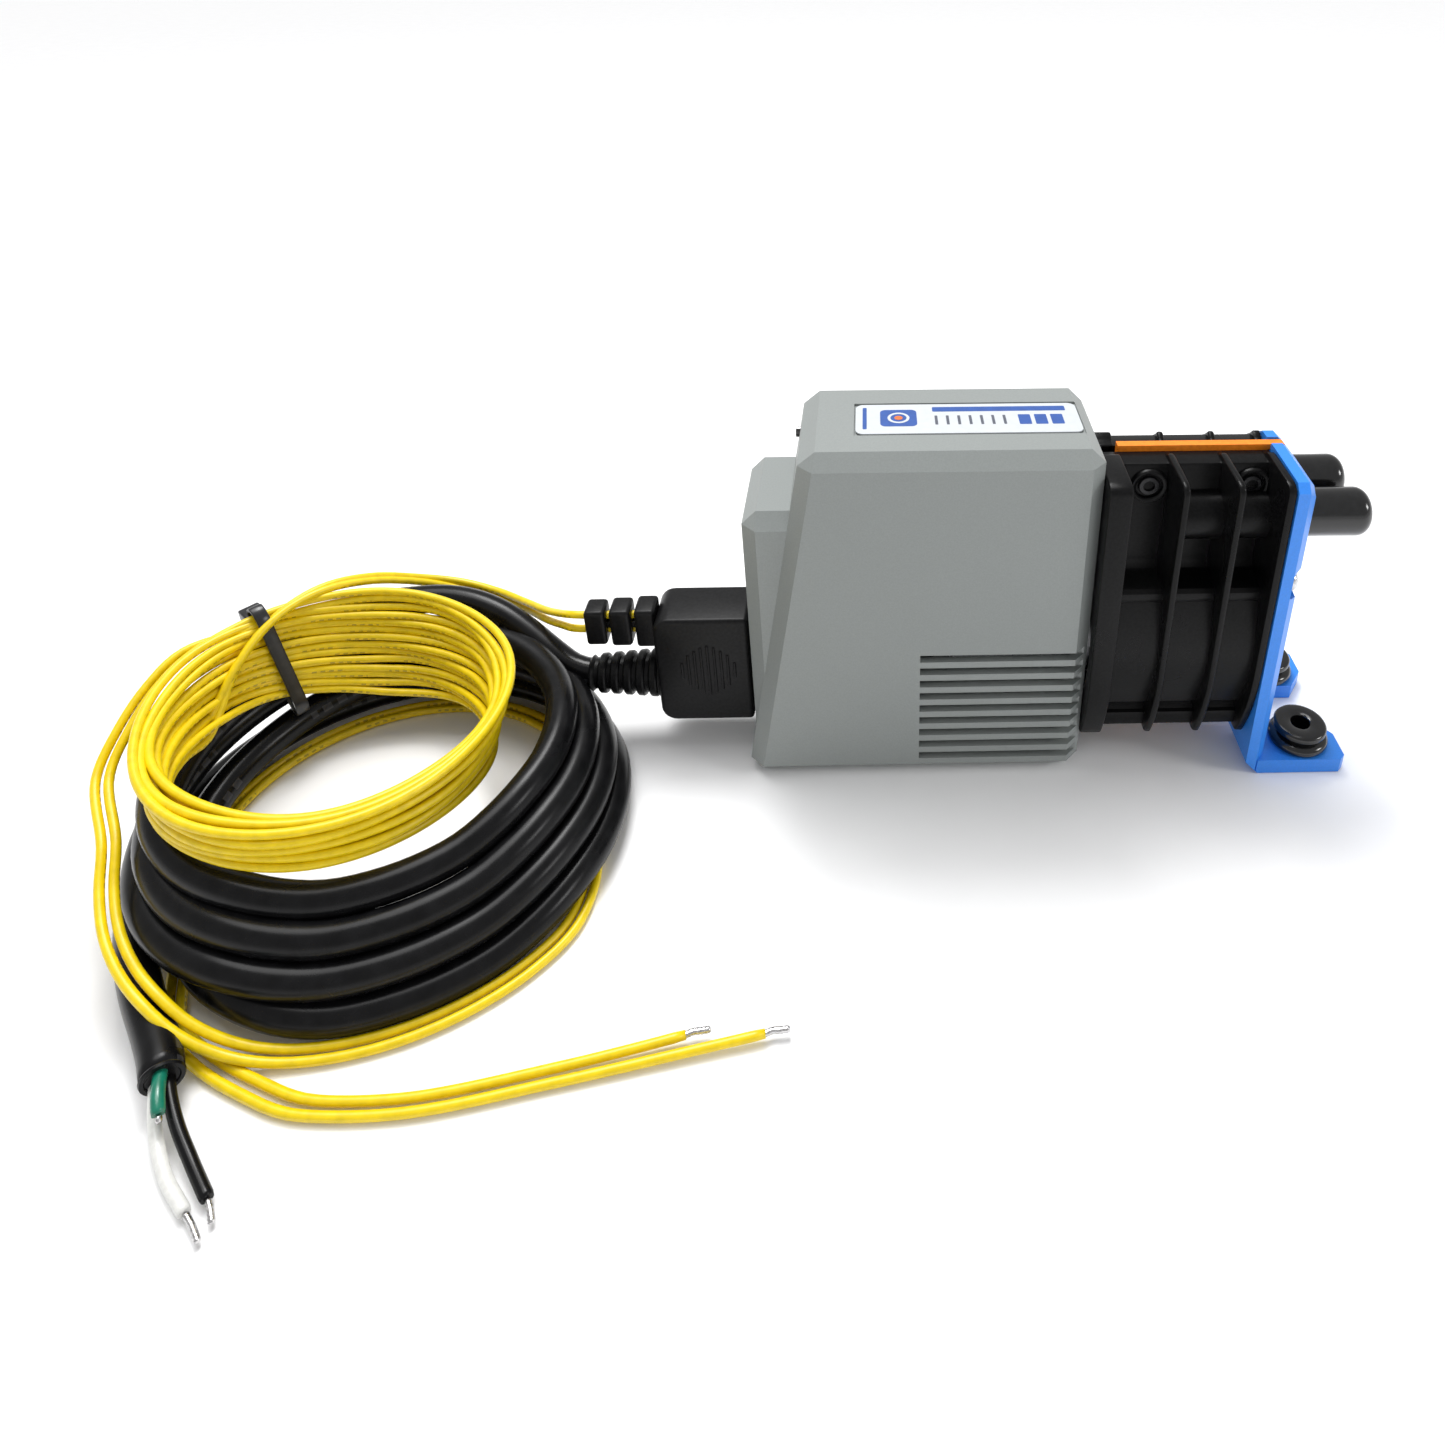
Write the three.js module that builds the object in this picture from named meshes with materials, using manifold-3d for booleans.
// Mini condensate pump with a detachable supply and alarm lead, in millimetres.
// +X runs from the lead to the hose spigots, -Y is the front, +Z is up and z = 0 is the table.
// The origin is under the middle of the pump.
import * as THREE from 'three';
import { ConvexGeometry } from 'three/addons/geometries/ConvexGeometry.js';
import { mergeVertices } from 'three/addons/utils/BufferGeometryUtils.js';
import Module from 'manifold-3d';

const wasm = await Module();
wasm.setup();

// ---------------------------------------------------------------- driving dimensions

const gap = 0.3; // between pieces that touch
const wall = 2.0; // moulded wall thickness

const cover = { topLeftX: -63.6, rightX: 8.2, halfDepth: 19.5, height: 98.2, chamfer: 3.6, lean: 0.174 };
const nose = { leftX: -78.6, rightX: -50, frontY: -16, backY: 17, height: 80 }; // stepped end with the socket
const louvre = { leftX: -35, rightX: 7.4, lowestZ: 5.6, pitch: 4.1, height: 2.2, count: 9 };
const label = { leftX: -50.6, length: 55, width: 15, thickness: 0.3, cornerRadius: 2 };

const body = { leftX: 8.5, flangeEndX: 14.2, rightX: 52.5, topZ: 89, bottomZ: 11 };
const rib = { frontY: 21.3, topZ: 90.6, bottomZ: 9.8, shoulderZ: 88.6, kneeZ: 20, kneeY: 15.5, thickness: 1.6 };
const ribLeftX = [25.9, 39.0, body.rightX - 1.6];
const gasketWidth = 2.4;

const bracket = { leftX: 52.8, rightX: 58, halfWidth: 21.5, height: 91, footEndX: 80.06, footInnerY: 6.5 };
const footThickness = 4.5;
const grommet = { x: 69.5, y: 13.6, flangeRadius: 7.8, topRadius: 6.9, neckRadius: 4.7, holeRadius: 2.5 };

const motorZ = 38; // height of the motor and pump axis
const motor = { leftX: -26, rightX: 12, radius: 14 };
const shaftRadius = 2;

const spigot = { y: 8.2, z: 75, radius: 3.4, endX: 72 };
const cap = { startX: 58.4, endX: 76.9, radius: 6.2, boreRadius: 4.2 };

const plug = { leftX: -104.9, rightX: -79.6, halfDepth: 7.5, bottomZ: 8.8, topZ: 43 };
const reliefLeftX = -124;
const mainsZ = 19.6;
const alarmZ = 37.3;
const pinHeights = [14, 20, 26, 33, 38];

const mainsCord = { diameter: 7.9 };
const alarmWire = { diameter: 2.1, spacing: 4.6 };
const coil = { x: -171.8, y: -36.5, innerRadius: 40, outerRadius: 55, height: 31, shift: 0.28 };
const alarmCoil = { x: -175.6, y: -27.5, innerRadius: 35, outerRadius: 42.5, bottomZ: 33.2, topZ: 41.5, lean: -0.03 };
const outerLoop = { innerRadius: 57.2, outerRadius: 61.8, height: 2.5 };

// ---------------------------------------------------------------- solids and booleans

function toSolid(geometry) {
  const bare = geometry.clone();
  bare.deleteAttribute('normal');
  bare.deleteAttribute('uv');
  const merged = mergeVertices(bare, 1e-4);
  const corners = merged.index.array;
  const kept = [];
  for (let i = 0; i < corners.length; i += 3) {
    const [a, b, c] = corners.slice(i, i + 3);
    if (a !== b && b !== c && c !== a) kept.push(a, b, c);
  }
  const mesh = new wasm.Mesh({
    numProp: 3,
    vertProperties: merged.attributes.position.array,
    triVerts: Uint32Array.from(kept),
  });
  return new wasm.Manifold(mesh);
}

function toGeometry(solid) {
  const mesh = solid.getMesh();
  const geometry = new THREE.BufferGeometry();
  geometry.setAttribute('position', new THREE.BufferAttribute(Float32Array.from(mesh.vertProperties), 3));
  geometry.setIndex(new THREE.BufferAttribute(Uint32Array.from(mesh.triVerts), 1));
  geometry.computeVertexNormals();
  return geometry;
}

function join(geometries) {
  return toGeometry(geometries.map(toSolid).reduce((whole, next) => whole.add(next)));
}

function cut(geometry, tools) {
  return toGeometry(tools.map(toSolid).reduce((rest, tool) => rest.subtract(tool), toSolid(geometry)));
}

function mirrorY(geometry) {
  const mirrored = geometry.clone().applyMatrix4(new THREE.Matrix4().makeScale(1, -1, 1));
  const corners = mirrored.index.array;
  for (let i = 0; i < corners.length; i += 3) {
    const first = corners[i];
    corners[i] = corners[i + 1];
    corners[i + 1] = first;
  }
  mirrored.computeVertexNormals();
  return mirrored;
}

// ---------------------------------------------------------------- basic shapes

function block(x0, x1, y0, y1, z0, z1) {
  return new THREE.BoxGeometry(x1 - x0, y1 - y0, z1 - z0).translate((x0 + x1) / 2, (y0 + y1) / 2, (z0 + z1) / 2);
}

function rodX(radius, x0, x1, y, z, sides = 16) {
  const rod = new THREE.CylinderGeometry(radius, radius, x1 - x0, sides);
  return rod.rotateZ(-Math.PI / 2).translate((x0 + x1) / 2, y, z);
}

function rodY(radius, y0, y1, x, z, sides = 16) {
  return new THREE.CylinderGeometry(radius, radius, y1 - y0, sides).translate(x, (y0 + y1) / 2, z);
}

function rodZ(radius, z0, z1, x, y, sides = 16) {
  const rod = new THREE.CylinderGeometry(radius, radius, z1 - z0, sides);
  return rod.rotateX(Math.PI / 2).translate(x, y, (z0 + z1) / 2);
}

// A closed [radius, height] outline, wound so that the turned surface faces out.
function windOutward(outline) {
  let area = 0;
  outline.forEach(([r, h], i) => {
    const [nextR, nextH] = outline[(i + 1) % outline.length];
    area += r * nextH - nextR * h;
  });
  const wound = area > 0 ? outline : [...outline].reverse();
  return [...wound, wound[0]].map(([r, h]) => new THREE.Vector2(r, h));
}

function turnedX(outline, y, z, sides = 20) {
  return new THREE.LatheGeometry(windOutward(outline), sides).rotateZ(-Math.PI / 2).translate(0, y, z);
}

function turnedZ(outline, x, y, sides = 20) {
  return new THREE.LatheGeometry(windOutward(outline), sides).rotateX(Math.PI / 2).translate(x, y, 0);
}

function ringX(outer, inner, x0, x1, y = 0, z = motorZ, sides = 20) {
  return turnedX([[inner, x0], [outer, x0], [outer, x1], [inner, x1]], y, z, sides);
}

function shapeOf(outline) {
  return new THREE.Shape(outline.map(([a, b]) => new THREE.Vector2(a, b)));
}

// Prisms of a closed outline: prismX takes [y, z] corners, prismY [x, z] and prismZ [x, y].
function prismX(outline, x0, x1) {
  const prism = new THREE.ExtrudeGeometry(shapeOf(outline), { depth: x1 - x0, bevelEnabled: false });
  const toX = new THREE.Matrix4().makeBasis(
    new THREE.Vector3(0, 1, 0),
    new THREE.Vector3(0, 0, 1),
    new THREE.Vector3(1, 0, 0),
  );
  return prism.applyMatrix4(toX).translate(x0, 0, 0);
}

function prismY(outline, y0, y1) {
  return new THREE.ExtrudeGeometry(shapeOf(outline), { depth: y1 - y0, bevelEnabled: false })
    .rotateX(Math.PI / 2)
    .translate(0, y1, 0);
}

function prismZ(outline, z0, z1) {
  return new THREE.ExtrudeGeometry(shapeOf(outline), { depth: z1 - z0, bevelEnabled: false }).translate(0, 0, z0);
}

// The 24 corners of a box with every edge chamfered.
function chamferedCorners([x0, x1], [y0, y1], [z0, z1], chamfer) {
  const corners = [];
  for (const [x, sx] of [[x0, 1], [x1, -1]]) {
    for (const [y, sy] of [[y0, 1], [y1, -1]]) {
      for (const [z, sz] of [[z0, 1], [z1, -1]]) {
        corners.push(new THREE.Vector3(x, y + sy * chamfer, z + sz * chamfer));
        corners.push(new THREE.Vector3(x + sx * chamfer, y, z + sz * chamfer));
        corners.push(new THREE.Vector3(x + sx * chamfer, y + sy * chamfer, z));
      }
    }
  }
  return corners;
}

function sweep(points, radius, sides, steps) {
  const circle = new THREE.Shape();
  circle.absarc(0, 0, radius, 0, Math.PI * 2);
  const path = new THREE.CatmullRomCurve3(points.map(([x, y, z]) => new THREE.Vector3(x, y, z)), false, 'centripetal');
  return new THREE.ExtrudeGeometry(circle, { steps, curveSegments: sides, bevelEnabled: false, extrudePath: path });
}

function hoseAlong(points, radius, boreRadius, steps) {
  const section = new THREE.Shape();
  section.absarc(0, 0, radius, 0, Math.PI * 2);
  const bore = new THREE.Path();
  bore.absarc(0, 0, boreRadius, 0, Math.PI * 2);
  section.holes.push(bore);
  const path = new THREE.CatmullRomCurve3(points.map(([x, y, z]) => new THREE.Vector3(x, y, z)));
  return new THREE.ExtrudeGeometry(section, { steps, curveSegments: 4, bevelEnabled: false, extrudePath: path });
}

// ---------------------------------------------------------------- the model and its finishes

const pump = new THREE.Group();

const finishes = {
  greyPlastic: { color: 0x9aa09f, roughness: 0.55, metalness: 0 },
  blackPlastic: { color: 0x161617, roughness: 0.45, metalness: 0 },
  bluePlastic: { color: 0x2a86e8, roughness: 0.4, metalness: 0 },
  orangeRubber: { color: 0xf5820f, roughness: 0.6, metalness: 0 },
  blackRubber: { color: 0x0e0e0f, roughness: 0.35, metalness: 0 },
  labelFilm: { color: 0xf1f3f4, roughness: 0.35, metalness: 0 },
  steel: { color: 0xb9bcc0, roughness: 0.35, metalness: 1 },
  blackSteel: { color: 0x1c1c1e, roughness: 0.4, metalness: 0.8 },
  brass: { color: 0xc9a44c, roughness: 0.3, metalness: 1 },
  copper: { color: 0xb5673a, roughness: 0.35, metalness: 1 },
  circuitGreen: { color: 0x1f5a38, roughness: 0.5, metalness: 0 },
  whitePlastic: { color: 0xdedfdc, roughness: 0.5, metalness: 0 },
  yellowWire: { color: 0xf2d90f, roughness: 0.4, metalness: 0 },
  greenWire: { color: 0x1d8f6c, roughness: 0.4, metalness: 0 },
  blackCord: { color: 0x111112, roughness: 0.35, metalness: 0 },
  redLens: { color: 0xa02018, roughness: 0.2, metalness: 0 },
};

function add(name, finish, geometry) {
  const mesh = new THREE.Mesh(geometry, new THREE.MeshStandardMaterial(finishes[finish]));
  mesh.name = name;
  pump.add(mesh);
}

// ---------------------------------------------------------------- grey cover

// The cover's left end leans out towards the bottom.
function leaned(corners) {
  const middle = (cover.topLeftX + cover.rightX) / 2;
  return corners.map((p) => (p.x < middle ? p.setX(p.x - cover.lean * (cover.height - p.z)) : p));
}

function coverBlock(inset, rightX) {
  const depth = cover.halfDepth - inset;
  const corners = chamferedCorners(
    [cover.topLeftX + inset, rightX],
    [-depth, depth],
    [inset, cover.height - inset],
    cover.chamfer - inset * 0.4,
  );
  return new ConvexGeometry(leaned(corners));
}

function noseBlock(inset) {
  const corners = chamferedCorners(
    [nose.leftX + inset, nose.rightX],
    [nose.frontY + inset, nose.backY - inset],
    [inset, nose.height - inset],
    cover.chamfer - inset * 0.4,
  );
  return new ConvexGeometry(corners);
}

function louvreSlots() {
  const slots = [];
  for (let i = 0; i < louvre.count; i += 1) {
    const z = louvre.lowestZ + i * louvre.pitch;
    for (const side of [-1, 1]) {
      const outer = side * (cover.halfDepth + 1);
      const inner = side * (cover.halfDepth - wall - 0.6);
      slots.push(block(louvre.leftX, louvre.rightX, Math.min(outer, inner), Math.max(outer, inner), z, z + louvre.height));
    }
  }
  return slots;
}

const socketMouth = { halfDepth: 6.4, bottomZ: 9.4, topZ: 41.6 };
const led = { y: 9, z: 90, radius: 1.4 };

function ledX() {
  return cover.topLeftX - cover.lean * (cover.height - led.z);
}

function coverShell() {
  const shell = cut(join([coverBlock(0, cover.rightX), noseBlock(0)]), [
    join([coverBlock(wall, cover.rightX - wall), noseBlock(wall)]),
    rodX(motor.radius + 0.8, 0, cover.rightX + 1, 0, motorZ, 24),
    block(nose.leftX - 1, nose.leftX + wall + 1, -socketMouth.halfDepth, socketMouth.halfDepth, socketMouth.bottomZ, socketMouth.topZ),
    rodX(led.radius + gap, ledX() - 4, ledX() + 6, led.y, led.z, 12),
    block(label.leftX - 0.4, label.leftX + label.length + 0.4, -8.2, 8.2, cover.height - 0.6, cover.height + 1),
  ]);
  return cut(shell, louvreSlots());
}

function ratingLabel() {
  const half = label.width / 2;
  const bottomZ = cover.height - 0.6 + gap;
  const [x0, x1, r] = [label.leftX, label.leftX + label.length, label.cornerRadius];
  const outline = new THREE.Shape();
  outline.absarc(x0 + r, -half + r, r, Math.PI, Math.PI * 1.5);
  outline.absarc(x1 - r, -half + r, r, Math.PI * 1.5, Math.PI * 2);
  outline.absarc(x1 - r, half - r, r, 0, Math.PI / 2);
  outline.absarc(x0 + r, half - r, r, Math.PI / 2, Math.PI);
  const film = new THREE.ExtrudeGeometry(outline, { depth: label.thickness, bevelEnabled: false, curveSegments: 4 });
  return film.translate(0, 0, bottomZ);
}

add('cover_shell', 'greyPlastic', coverShell());
add('rating_label', 'labelFilm', ratingLabel());
add('status_led', 'redLens', rodX(led.radius, ledX() - 1, ledX() + 5, led.y, led.z, 12));

// ---------------------------------------------------------------- black pump body, two halves

// Front outline of the core as [y, z], from the top of the seam to the bottom, shrunk by inset.
function coreOutline(inset, seamY) {
  const panelBulge = 3;
  const points = [
    [-seamY, body.topZ - inset],
    [-7.5 + inset, body.topZ - inset],
    [-7.5 + inset, 58 - inset],
    [-9, 56.5 - inset],
    [-15.5 + inset, 56 - inset],
  ];
  const arcSteps = 4;
  for (let i = 1; i < arcSteps; i += 1) {
    const t = i / arcSteps;
    points.push([-15.5 + inset - panelBulge * Math.sin(Math.PI * t), 56 - inset + (20 - 56 + 2 * inset) * t]);
  }
  points.push([-15.5 + inset, 20 + inset]);
  points.push([-13 + inset, 18.5 + inset]);
  points.push([-13 + inset, body.bottomZ + inset]);
  points.push([-seamY, body.bottomZ + inset]);
  return points;
}

// The rib's shoulder is square at the front and falls away at the rear.
const frontShoulder = [[19.5, rib.topZ - 0.4], [rib.frontY, rib.shoulderZ]];
const rearShoulder = [[9, 87.8], [14.5, 83.2], [19.3, 76.5], [rib.frontY, 70]];

function ribOutline(seamY, shoulder) {
  return [
    [-seamY, rib.topZ - 1.4],
    [-3.2, rib.topZ - 1.4],
    [-5.2, rib.topZ],
    ...shoulder.map(([y, z]) => [-y, z]),
    [-rib.frontY, 32],
    [-rib.kneeY - 4, rib.kneeZ],
    [-rib.kneeY, rib.bottomZ],
    [-seamY, rib.bottomZ],
  ];
}

const seamY = gasketWidth / 2 + gap;
const bossX = [21.4, 46.9]; // upper clamp screws of the body
const bossZ = 83;
const bracketScrew = { y: 17.8, z: 61.5 };

// One half as it is at the front, with the given rib shoulder.
function bodyHalf(shoulder) {
  const channel = { startX: ribLeftX[0] + 1, radius: 6.4 };
  const outer = join([
    prismX(coreOutline(0, seamY), body.flangeEndX - 1, body.rightX),
    prismX(coreOutline(0, gap / 2), body.leftX, body.flangeEndX),
    prismX(ribOutline(gap / 2, shoulder), body.leftX, body.flangeEndX),
    ...ribLeftX.map((x) => prismX(ribOutline(seamY, shoulder), x, x + rib.thickness)),
    rodX(channel.radius, channel.startX, body.rightX, -spigot.y, spigot.z, 18),
    ...bossX.map((x) => rodY(4.4, -8.3, -7, x, bossZ, 16)),
    block(46.5, body.rightX, -20, -14, 58.5, 64.5),
  ]);
  const hollow = cut(outer, [
    prismX(coreOutline(wall, -1), body.leftX - 1, body.rightX - wall),
    rodX(channel.radius - 1.6, channel.startX + wall, body.rightX - wall, -spigot.y, spigot.z, 14),
    block(36, body.rightX - wall, -8.2, 1, spigot.z - 5.2, spigot.z + 4),
    block(body.flangeEndX, body.rightX + 1, -seamY, 10, 0, 100),
    rodX(spigot.radius + gap, body.rightX - wall - 1, body.rightX + 1, -spigot.y, spigot.z, 14),
    rodX(1.5, 45, body.rightX + 1, -bracketScrew.y, bracketScrew.z, 12),
  ]);
  const posts = bossX.map((x) => rodY(3.4, -7.2, -seamY, x, bossZ, 12));
  const holes = bossX.flatMap((x) => [
    rodY(1.8, -12, 2, x, bossZ, 10),
    rodY(3.0, -12, -5.6, x, bossZ, 12),
  ]);
  return cut(join([hollow, ...posts]), holes);
}

add('front_body_half', 'blackPlastic', bodyHalf(frontShoulder));
add('rear_body_half', 'blackPlastic', mirrorY(bodyHalf(rearShoulder)));

function seamGasket() {
  const topZ = body.topZ + 1.5;
  const left = body.flangeEndX + gap;
  const closedEnd = body.rightX - wall + gap;
  return prismY(
    [
      [left, topZ],
      [left, body.topZ - wall + gap],
      [closedEnd - 0.2, body.topZ - wall + gap],
      [closedEnd - 0.2, body.bottomZ + wall - gap],
      [left, body.bottomZ + wall - gap],
      [left, body.bottomZ - 0.2],
      [body.rightX - 0.2, body.bottomZ - 0.2],
      [body.rightX - 0.2, body.topZ],
      [bracket.leftX + 3.6, body.topZ],
      [bracket.leftX + 3.6, topZ],
    ],
    -gasketWidth / 2,
    gasketWidth / 2,
  );
}

// A socket-head cap screw along Y, its head starting at headY and its tip behind it.
function socketScrew(x, z, headY, length, shankRadius, headRadius) {
  const headHeight = headRadius * 0.68;
  const screw = join([
    rodY(headRadius, headY, headY + headHeight, x, z, 16),
    rodY(shankRadius, headY + headHeight - 0.1, headY + length, x, z, 10),
  ]);
  return cut(screw, [rodY(headRadius * 0.5, headY - 1, headY + headHeight * 0.7, x, z, 6)]);
}

add('seam_gasket', 'orangeRubber', seamGasket());
add('left_body_screw', 'blackSteel', socketScrew(bossX[0], bossZ, -7.8, 12.4, 1.45, 2.6));
add('right_body_screw', 'blackSteel', socketScrew(bossX[1], bossZ, -7.8, 12.4, 1.45, 2.6));

// ---------------------------------------------------------------- blue mounting bracket

function bracketOutline(inset) {
  const w = bracket.halfWidth - inset;
  const h = bracket.height - inset;
  return [
    [-w, 0],
    [w, 0],
    [w, h - 20.5],
    [w - 2, h - 14],
    [14.5 - inset, h - 7.2],
    [8.6 - inset * 0.5, h - 2.4],
    [5, h],
    [-5, h],
    [-w + 2, h - 0.4],
    [-w, h - 2.4],
  ];
}

function footOutline() {
  const [start, end] = [bracket.rightX - 2, bracket.footEndX];
  const [outer, inner] = [-bracket.halfWidth, -bracket.footInnerY];
  return [
    [start, outer],
    [end - 1.5, outer],
    [end, outer + 1.5],
    [end, -12.5],
    [end - 4.5, inner],
    [start, inner],
  ];
}

function bevelledPlate() {
  const bevel = 2.4;
  const corners = [];
  for (const [y, z] of bracketOutline(0)) {
    corners.push(new THREE.Vector3(bracket.leftX, y, z));
    corners.push(new THREE.Vector3(bracket.rightX - bevel, y, z));
  }
  for (const [y, z] of bracketOutline(bevel)) corners.push(new THREE.Vector3(bracket.rightX, y, z));
  return new ConvexGeometry(corners);
}

function mountingBracket() {
  const foot = prismZ(footOutline(), 0, footThickness);
  const rearFoot = prismZ(footOutline().map(([x, y]) => [x, -y]).reverse(), 0, footThickness);
  const holes = [
    block(bracket.leftX - 1, bracket.leftX + 3.9, -1.6, 1.6, body.topZ - gap, 100),
    block(bracket.leftX - 1, bracket.rightX + 1, -bracket.footInnerY, bracket.footInnerY, -1, 8),
    prismY([[bracket.leftX - 1, 5], [bracket.leftX - 1, -1], [bracket.leftX + 4.6, -1]], -30, 30),
  ];
  for (const side of [-1, 1]) {
    const y = side * grommet.y;
    holes.push(rodX(4.6, bracket.leftX - 1, bracket.rightX + 1, side * spigot.y, spigot.z, 16));
    holes.push(rodX(1.5, bracket.leftX - 1, bracket.rightX + 1, side * bracketScrew.y, bracketScrew.z, 12));
    holes.push(rodX(4.4, bracket.rightX - 2.4, bracket.rightX + 1, side * (bracketScrew.y + 0.9), bracketScrew.z, 14));
    holes.push(rodZ(grommet.neckRadius + gap, -1, footThickness + 1, grommet.x, y, 16));
    holes.push(rodZ(grommet.flangeRadius - 1, -1, 1.6, grommet.x, y, 16));
  }
  return cut(join([bevelledPlate(), foot, rearFoot]), holes);
}

function grommetAt(side) {
  const { flangeRadius, topRadius, neckRadius, holeRadius } = grommet;
  const seat = footThickness + gap;
  return turnedZ(
    [
      [holeRadius, 0],
      [flangeRadius - 1.6, 0],
      [flangeRadius - 1.4, 1.3],
      [neckRadius, 1.3],
      [neckRadius, seat],
      [flangeRadius - 0.4, seat],
      [flangeRadius, seat + 0.6],
      [flangeRadius, seat + 1.8],
      [topRadius - 1.6, seat + 2.6],
      [topRadius - 1.6, seat + 3.4],
      [topRadius, seat + 3.8],
      [topRadius, seat + 5.2],
      [topRadius - 0.6, seat + 5.7],
      [holeRadius, seat + 5.7],
    ],
    grommet.x,
    side * grommet.y,
    18,
  );
}

function bracketScrewAt(side) {
  const headX = bracket.rightX - 2.4 + gap;
  return join([
    rodX(2.9, headX, headX + 1.4, side * bracketScrew.y, bracketScrew.z, 16),
    rodX(2.2, headX + 1.3, headX + 2.1, side * bracketScrew.y, bracketScrew.z, 16),
    rodX(1.1, 48, headX + 0.1, side * bracketScrew.y, bracketScrew.z, 10),
  ]);
}

add('mounting_bracket', 'bluePlastic', mountingBracket());
add('front_grommet', 'blackRubber', grommetAt(-1));
add('rear_grommet', 'blackRubber', grommetAt(1));
add('front_bracket_screw', 'steel', bracketScrewAt(-1));
add('rear_bracket_screw', 'steel', bracketScrewAt(1));

// ---------------------------------------------------------------- hose spigots and travel caps

function spigotAt(side) {
  const bore = 2.0;
  const barbs = [];
  for (let x = spigot.endX - 3; x > 62; x -= 4) {
    barbs.push([spigot.radius - 0.5, x - 1]);
    barbs.push([spigot.radius + 0.3, x - 1]);
    barbs.push([spigot.radius - 0.5, x + 3]);
  }
  return turnedX(
    [
      [0.8, 45],
      [1.3, 45],
      [1.3, 48.6],
      [spigot.radius + 1, 48.6],
      [spigot.radius + 1, body.rightX - wall - gap],
      [spigot.radius, body.rightX - wall - gap],
      [spigot.radius, 60],
      ...barbs.reverse().reduce((outline, _, i, all) => (i % 3 ? outline : [...outline, all[i + 2], all[i + 1], all[i]]), []),
      [spigot.radius - 0.6, spigot.endX],
      [bore, spigot.endX],
      [bore, 50],
      [0.8, 48],
    ],
    side * spigot.y,
    spigot.z,
    14,
  );
}

function travelCap(side) {
  const { startX, endX, radius, boreRadius } = cap;
  const dome = [];
  for (let i = 1; i <= 3; i += 1) {
    const a = (i / 3) * (Math.PI / 2);
    dome.push([radius - 2.4 + 2.4 * Math.cos(a), endX - 2.4 + 2.4 * Math.sin(a)]);
  }
  return turnedX(
    [
      [boreRadius, startX],
      [radius, startX],
      [radius, endX - 2.4],
      ...dome,
      [0, endX],
      [0, spigot.endX + 1.5],
      [boreRadius, spigot.endX + 1.5],
    ],
    side * spigot.y,
    spigot.z,
    18,
  );
}

add('inlet_spigot', 'blackPlastic', spigotAt(-1));
add('outlet_spigot', 'blackPlastic', spigotAt(1));
add('inlet_cap', 'blackRubber', travelCap(-1));
add('outlet_cap', 'blackRubber', travelCap(1));

// ---------------------------------------------------------------- motor

add('motor_can', 'steel', turnedX(
  [
    [4.6, motor.rightX], [motor.radius, motor.rightX], [motor.radius, motor.leftX], [13, motor.leftX],
    [13, motor.rightX - 1.5], [4.6, motor.rightX - 1.5],
  ],
  0,
  motorZ,
  24,
));
add('motor_end_bell', 'blackPlastic', ringX(12.7, 4.6, motor.leftX + 0.3, motor.leftX + 2.4));
add('rear_bearing', 'steel', ringX(4.3, shaftRadius + gap, motor.leftX + 0.3, motor.leftX + 3.2, 0, motorZ, 20));
add('front_bearing', 'steel', ringX(4.3, shaftRadius + gap, 9.4, motor.rightX, 0, motorZ, 20));
add('stator_core', 'steel', ringX(12.7, 9.7, -18, 5, 0, motorZ, 24));
add('stator_winding', 'copper', turnedX(
  [[8.6, -22.6], [12.2, -22.6], [12.2, -18.3], [9.4, -18.3], [9.4, 5.3], [12.2, 5.3], [12.2, 9], [8.6, 9]],
  0,
  motorZ,
  20,
));
add('rotor_magnet', 'blackSteel', ringX(8.1, shaftRadius + gap, -17, 4, 0, motorZ, 24));
add('motor_shaft', 'steel', rodX(shaftRadius, -40, 17.4, 0, motorZ, 16));

function coolingFan() {
  const [x0, x1, tip] = [-39, -30, 13];
  const hub = ringX(4.6, shaftRadius + gap, x0, x1, 0, motorZ, 20);
  const blades = [];
  const bladeCount = 7;
  for (let i = 0; i < bladeCount; i += 1) {
    const blade = new THREE.BoxGeometry(x1 - x0 - 1, 1.2, tip - 3.6);
    blade.rotateZ(0.5);
    blade.translate(0, 0, (tip + 3.6) / 2);
    blade.rotateX((i / bladeCount) * Math.PI * 2);
    blades.push(blade.translate((x0 + x1) / 2, 0, motorZ));
  }
  return join([hub, ...blades]);
}

add('cooling_fan', 'blackPlastic', coolingFan());
add('motor_mount', 'blackRubber', ringX(15.4, motor.radius + gap, 9.0, 13.4));

// ---------------------------------------------------------------- diaphragm pump

const crankcaseX = [motor.rightX + gap, 26.2];
const screwCircle = 11.6;
const headScrewAngles = [30, 150, 270].map((degrees) => THREE.MathUtils.degToRad(degrees));
const chamberAngles = [90, 210, 330].map((degrees) => THREE.MathUtils.degToRad(degrees));

function onCircle(radius, angle) {
  return [radius * Math.cos(angle), motorZ + radius * Math.sin(angle)];
}

function crankcase() {
  const [x0, x1] = crankcaseX;
  const shell = join([
    ringX(motor.radius, 12.6, x0, x1),
    ...headScrewAngles.map((angle) => rodX(2.0, x1 - 4, x1, ...onCircle(screwCircle - 0.3, angle), 12)),
  ]);
  return cut(shell, headScrewAngles.map((angle) => rodX(1.3, x1 - 3, x1 + 1, ...onCircle(screwCircle - 0.3, angle), 10)));
}

function eccentricHub() {
  const crankOffset = 1.1;
  const hub = join([
    rodX(5.4, 13, 18.6, 0, motorZ, 20),
    rodX(2.5, 18.5, 22.8, 0, motorZ + crankOffset, 16),
  ]);
  return cut(hub, [rodX(shaftRadius + gap, 12, 17.8, 0, motorZ, 16)]);
}

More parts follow.
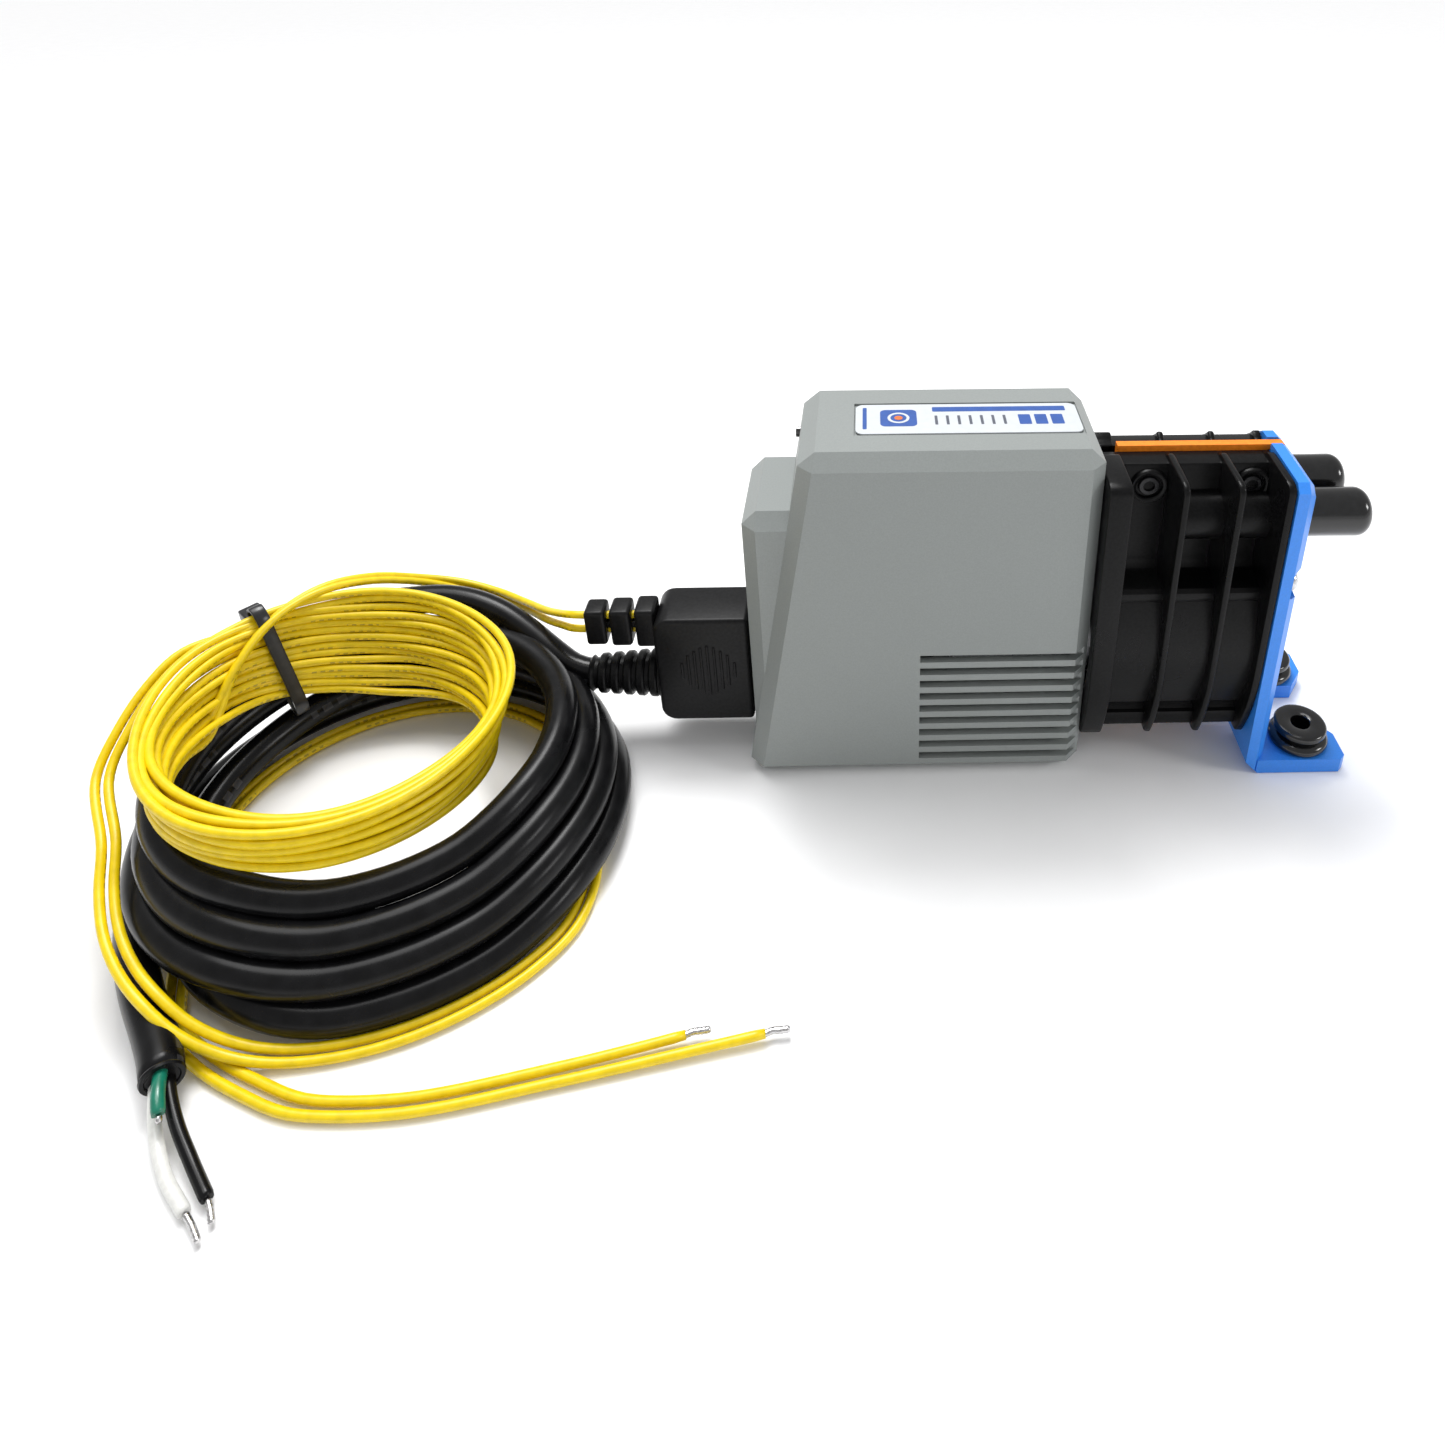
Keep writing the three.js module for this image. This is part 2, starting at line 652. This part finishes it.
function wobblePlate() {
  const [x0, x1] = [19.4, 24.6];
  const arms = chamberAngles.flatMap((angle) => {
    const [y, z] = onCircle(7.6, angle);
    const arm = block(x0 + 2.4, x1, 4, 10.2, -2.6, 2.6).rotateX(angle).translate(0, 0, motorZ);
    return [arm, rodX(1.8, x1 - 0.5, 27.6, y, z, 12)];
  });
  return cut(join([rodX(8, x0 + 0.3, x1, 0, motorZ, 24), ...arms]), [rodX(6.6, x0 - 1, x1 - 1.2, 0, motorZ, 24)]);
}

function diaphragm() {
  const disc = rodX(motor.radius, 28.6, 30.2, 0, motorZ, 24);
  const cups = chamberAngles.map((angle) => rodX(4.0, 26.5, 28.8, ...onCircle(7.6, angle), 12));
  const bores = chamberAngles.map((angle) => rodX(3.0, 25, 29, ...onCircle(7.6, angle), 12));
  const holes = headScrewAngles.map((angle) => rodX(1.3, 28, 31, ...onCircle(screwCircle - 0.3, angle), 10));
  return cut(join([disc, ...cups]), [...bores, ...holes]);
}

function chamberPlate() {
  const chambers = chamberAngles.map((angle) => rodX(3.2, 30, 33.4, ...onCircle(7.6, angle), 12));
  const ports = chamberAngles.map((angle) => rodX(0.9, 33, 36, ...onCircle(7.6, angle), 8));
  const holes = headScrewAngles.map((angle) => rodX(1.3, 30, 36, ...onCircle(screwCircle - 0.3, angle), 10));
  return cut(rodX(motor.radius, 30.5, 35, 0, motorZ, 24), [...chambers, ...ports, ...holes]);
}

// Three flaps on one rubber sheet, each inside its own horseshoe slot.
function valveSheet() {
  const sheet = rodX(10, 35.3, 36, 0, motorZ, 24);
  const slots = chamberAngles.map((angle) => {
    const [y, z] = onCircle(6.6, angle);
    const slot = cut(rodX(2.9, 35, 36.5, 0, 0, 14), [
      rodX(2.2, 34, 37, 0, 0, 14),
      block(34, 37, -1.4, 1.4, -3.2, 0),
    ]);
    return slot.rotateX(angle - Math.PI / 2).translate(0, y, z);
  });
  return cut(sheet, slots);
}

const port = { x: 40, y: 2.8, topZ: 58.5 };

function headManifold() {
  const outer = join([
    rodX(motor.radius, 35.3, 46.5, 0, motorZ, 24),
    ...[-1, 1].map((side) => rodZ(2.0, 48, port.topZ - 3.2, port.x, side * port.y, 12)),
    ...[-1, 1].map((side) => rodZ(1.3, 48, port.topZ, port.x, side * port.y, 12)),
  ]);
  return cut(outer, [
    rodX(10.4, 35, 36.9, 0, motorZ, 24),
    ...[-1, 1].map((side) => rodZ(0.8, 42, port.topZ + 1, port.x, side * port.y, 8)),
    ...[-1, 1].map((side) => rodX(0.9, 36, port.x, side * port.y, 43, 8)),
    ...headScrewAngles.map((angle) => rodX(1.3, 34, 48, ...onCircle(screwCircle - 0.3, angle), 10)),
  ]);
}

function headScrew(angle) {
  const [y, z] = onCircle(screwCircle - 0.3, angle);
  return join([rodX(2.1, 46.8, 48.6, y, z, 14), rodX(0.95, crankcaseX[1] - 2.6, 46.9, y, z, 8)]);
}

function innerHose(side) {
  const s = side;
  return hoseAlong(
    [
      [port.x, s * port.y, port.topZ - 2.6],
      [port.x, s * port.y, 62],
      [port.x, s * port.y, 67],
      [port.x + 0.3, s * (port.y + 0.2), 70.4],
      [42.2, s * 6.2, 74.2],
      [45.2, s * spigot.y, spigot.z],
      [48.2, s * spigot.y, spigot.z],
    ],
    2.4,
    1.8,
    14,
  );
}

add('crankcase', 'blackPlastic', crankcase());
add('eccentric_hub', 'brass', eccentricHub());
add('drive_bearing', 'steel', ringX(6.3, 4.1, 19.7, 23.1, 0, motorZ, 24));
add('wobble_plate', 'whitePlastic', wobblePlate());
add('diaphragm', 'blackRubber', diaphragm());
add('chamber_plate', 'whitePlastic', chamberPlate());
add('valve_sheet', 'orangeRubber', valveSheet());
add('head_manifold', 'blackPlastic', headManifold());
headScrewAngles.forEach((angle, i) => add(`head_screw_${i + 1}`, 'steel', headScrew(angle)));
add('inlet_hose', 'whitePlastic', innerHose(-1));
add('outlet_hose', 'whitePlastic', innerHose(1));

// ---------------------------------------------------------------- socket and control board

const socket = { leftX: nose.leftX + wall + gap, backX: -62, rightX: -58 };

function socketInlet() {
  const housing = block(socket.leftX, socket.rightX, -8.6, 8.6, 6.8, 44.2);
  return cut(housing, [
    block(socket.leftX - 1, socket.backX, -socketMouth.halfDepth, socketMouth.halfDepth, socketMouth.bottomZ, socketMouth.topZ),
    ...pinHeights.map((z) => rodX(1.4, socket.backX - 1, socket.rightX + 1, 0, z, 12)),
  ]);
}

function controlBoard() {
  const board = block(-57, -4, 11.2, 12.8, 56, 92);
  const chips = [block(-20, -12, 9.4, 11.4, 60, 66), block(-34, -24, 9.4, 11.4, 58, 62), block(-10, -7, 8.4, 11.4, 70, 84)];
  return join([board, ...chips]);
}

add('socket_inlet', 'blackPlastic', socketInlet());
add('socket_pins', 'brass', join([
  block(socket.rightX + gap, -56, -3, 3, 11, 41),
  ...pinHeights.map((z) => rodX(1.1, -73, -56.5, 0, z, 12)),
]));
add('control_board', 'circuitGreen', controlBoard());
add('transformer', 'copper', join([block(-52, -36, -4, 10.9, 66, 84), block(-49, -39, -5.4, -3.8, 69, 81)]));
add('filter_capacitor', 'blackPlastic', rodX(4.6, -33, -16, 5.8, 76, 20));

// ---------------------------------------------------------------- plug on the lead

function roundedOutline(x0, x1, z0, z1, leftRadius, rightRadius) {
  const outline = new THREE.Shape();
  outline.absarc(x0 + leftRadius, z0 + leftRadius, leftRadius, Math.PI, Math.PI * 1.5);
  outline.absarc(x1 - rightRadius, z0 + rightRadius, rightRadius, Math.PI * 1.5, Math.PI * 2);
  outline.absarc(x1 - rightRadius, z1 - rightRadius, rightRadius, 0, Math.PI / 2);
  outline.absarc(x0 + leftRadius, z1 - leftRadius, leftRadius, Math.PI / 2, Math.PI);
  return outline;
}

function plugBody() {
  const bevel = 0.9;
  const side = new THREE.ExtrudeGeometry(
    roundedOutline(plug.leftX + bevel, plug.rightX - bevel, plug.bottomZ + bevel, plug.topZ - bevel, 3, 0.8),
    {
      depth: 2 * (plug.halfDepth - bevel),
      bevelThickness: bevel,
      bevelSize: bevel,
      bevelSegments: 1,
      curveSegments: 3,
    },
  );
  side.rotateX(Math.PI / 2).translate(0, plug.halfDepth - bevel, 0);
  const tongue = block(plug.rightX - 1, -66, -5.9, 5.9, 10, 41);
  const bores = pinHeights.map((z) => rodX(1.5, -78, -65, 0, z, 14));
  return cut(join([side, tongue]), bores);
}

function mainsRelief() {
  const outline = [[0, reliefLeftX], [4.9, reliefLeftX]];
  const grooves = 4;
  const pitch = (plug.leftX - 1 - reliefLeftX) / (grooves + 0.5);
  for (let i = 0; i < grooves; i += 1) {
    const x = reliefLeftX + (i + 0.55) * pitch;
    const radius = 5.0 + (1.3 * i) / grooves;
    outline.push([radius, x], [radius - 0.9, x + 0.2], [radius - 0.8, x + pitch * 0.42], [radius + 0.3, x + pitch * 0.46]);
  }
  outline.push([6.4, plug.leftX - gap], [0, plug.leftX - gap]);
  return turnedX(outline, 0, mainsZ, 14);
}

function alarmRelief() {
  const end = plug.leftX - gap;
  const core = block(reliefLeftX + 0.5, end, -2.2, 2.2, alarmZ - 3.8, alarmZ + 3.8);
  const chunk = 4.6;
  const chunks = [0, 1, 2].map((i) => {
    const x = reliefLeftX + i * 6.9;
    const corners = chamferedCorners([x, x + chunk], [-3 - i * 0.2, 3 + i * 0.2], [alarmZ - 5 - i * 0.2, alarmZ + 5 + i * 0.2], 0.9);
    return new ConvexGeometry(corners);
  });
  return join([core, ...chunks]);
}

add('plug_body', 'blackPlastic', plugBody());
add('mains_strain_relief', 'blackRubber', mainsRelief());
add('alarm_strain_relief', 'blackRubber', alarmRelief());

// ---------------------------------------------------------------- mains cord

const tubeStart = reliefLeftX - 2 * gap;

// Everything on the lead's coil moves back as it rises, because the turns lean on each other.
function leanBack(geometry) {
  const shear = new THREE.Matrix4().set(1, 0, 0, 0, 0, 1, coil.shift, 0, 0, 0, 1, 0, 0, 0, 0, 1);
  return geometry.applyMatrix4(shear);
}

function mainsCoil() {
  const { innerRadius, outerRadius, height } = coil;
  const ring = turnedZ(
    [
      [innerRadius + 7, 0], [outerRadius, 0], [outerRadius, 8], [outerRadius - 6.6, height - 2],
      [outerRadius - 8.4, height], [innerRadius, height], [innerRadius - 0.6, height - 2],
    ],
    coil.x,
    coil.y,
    36,
  );
  return leanBack(ring);
}

const mainsLeadPoints = [[tubeStart, 0, mainsZ], [-125.7, 0.02, mainsZ], [-126.8, 0.1, mainsZ]];
const mainsTailPoints = [[-187.6, -94.6, 6.9], [-186.9, -96.4, 6.9], [-186.2, -98.2, 6.9]];

add('mains_cord_lead', 'blackCord', sweep(mainsLeadPoints, mainsCord.diameter / 2, 6, 2));
add('mains_cord_coil', 'blackCord', mainsCoil());
add('mains_cord_tail', 'blackCord', sweep(mainsTailPoints, mainsCord.diameter / 2, 6, 2));

const coreStart = [-185.6, -99.6, 6.9];

// A conductor of the cut end, running from the jacket to its own tip.
function conductor(offset, via, tip, radius) {
  const start = coreStart.map((value, i) => value + offset[i]);
  return sweep([start, via, tip], radius, 4, 4);
}

add('core_green', 'greenWire', conductor([0.2, 0, 1.5], [-184, -102, 8], [-181, -105.6, 7], 1.2));
add('core_black', 'blackCord', conductor([1.4, 0.1, -1.3], [-179, -106, 3.6], [-168.2, -117, 1.5], 1.2));
add('core_white', 'whitePlastic', conductor([-1.5, -0.1, -1.1], [-183.6, -106.6, 3.4], [-166, -122.4, 1.5], 1.2));

// ---------------------------------------------------------------- alarm wires

function alarmRing() {
  const { innerRadius, outerRadius, bottomZ, topZ, lean } = alarmCoil;
  const middle = (topZ + bottomZ) / 2;
  const half = (topZ - bottomZ) / 2;
  const ring = turnedZ(
    [
      [innerRadius, -half], [outerRadius - 2, -half], [outerRadius, -half + 2],
      [outerRadius, half - 2], [outerRadius - 2, half], [innerRadius, half],
    ],
    0,
    0,
    36,
  );
  return ring.rotateY(-Math.atan(lean)).translate(alarmCoil.x, alarmCoil.y, middle);
}

function outerLoopRing() {
  const { innerRadius, outerRadius, height } = outerLoop;
  return turnedZ(
    [[innerRadius, 0.1], [outerRadius, 0.1], [outerRadius, height], [innerRadius, height]],
    coil.x,
    coil.y,
    40,
  );
}

const alarmLeadPoints = (side) => [
  [tubeStart, 0, alarmZ + (side * alarmWire.spacing) / 2],
  [-127.6, 0.4, 37.2 + side * 2.3],
  [-131.4, 2.8, 36.2 + side * 2.2],
  [-138, 9.8, 33.4 + side * 1.9],
  [-147, 18.6, 33.2 + side * 1.7],
  [-157, 23.8, 35.6 + side * 1.6],
  [-168, 24.6, 38.2 + side * 1.5],
  [-177, 19.4, 40 + side * 1.5],
];
const alarmTailPoints = {
  a: [[-162.2, -98.9, 1.3], [-157, -99.9, 1.3], [-139, -99.8, 1.3], [-111.4, -94.9, 1.3], [-96, -91.6, 1.3], [-81.9, -88.4, 1.3]],
  b: [[-164.6, -101.4, 1.3], [-158.5, -102.6, 1.3], [-139, -102.6, 1.3], [-111, -97.6, 1.3], [-84, -92.2, 1.3], [-65.3, -88.6, 1.3]],
};

for (const [side, name] of [[-1, 'a'], [1, 'b']]) {
  add(`alarm_wire_${name}_lead`, 'yellowWire', sweep(alarmLeadPoints(side), alarmWire.diameter / 2, 4, 11));
  add(`alarm_wire_${name}_tail`, 'yellowWire', sweep(alarmTailPoints[name], alarmWire.diameter / 2, 4, 16));
}
add('alarm_wire_coil', 'yellowWire', alarmRing());
add('alarm_outer_loop', 'yellowWire', outerLoopRing());

export default pump;
